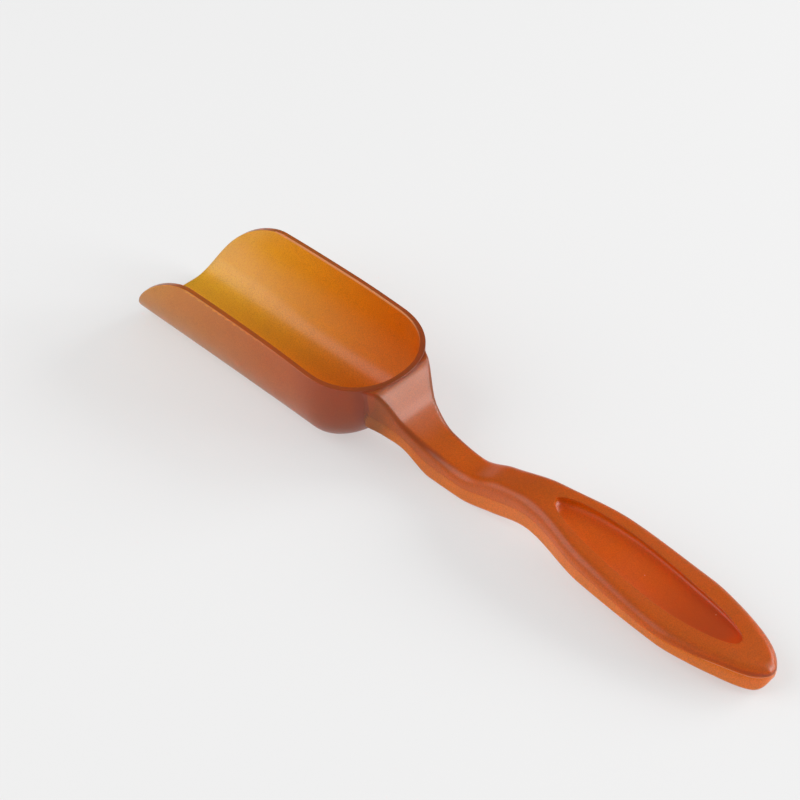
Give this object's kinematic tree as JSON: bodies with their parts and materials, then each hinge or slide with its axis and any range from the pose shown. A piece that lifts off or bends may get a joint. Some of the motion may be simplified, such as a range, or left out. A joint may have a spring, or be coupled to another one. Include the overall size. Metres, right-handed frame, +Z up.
{
  "type": "soil scoop",
  "caption": "Small hand scoop with a deep round-backed trough, a falling hood and a hollow S-curved handle with an oval thumb recess, in frosted amber plastic.",
  "frame": {"origin": "centre of the bounding box's bottom, on the surface the scoop rests on", "axes": "+X along the scoop from the butt of the handle to the mouth, +Z up out of the open trough"},
  "size_m": [0.19, 0.0342, 0.0242],
  "materials": {
    "amber_plastic": "frosted, translucent amber-brown moulding",
    "pale_amber_plastic": "frosted, translucent light amber moulding"
  },
  "bodies": {
    "root": {"scoop_body": "amber_plastic", "handle_back": "pale_amber_plastic"}
  },
  "joints": []
}
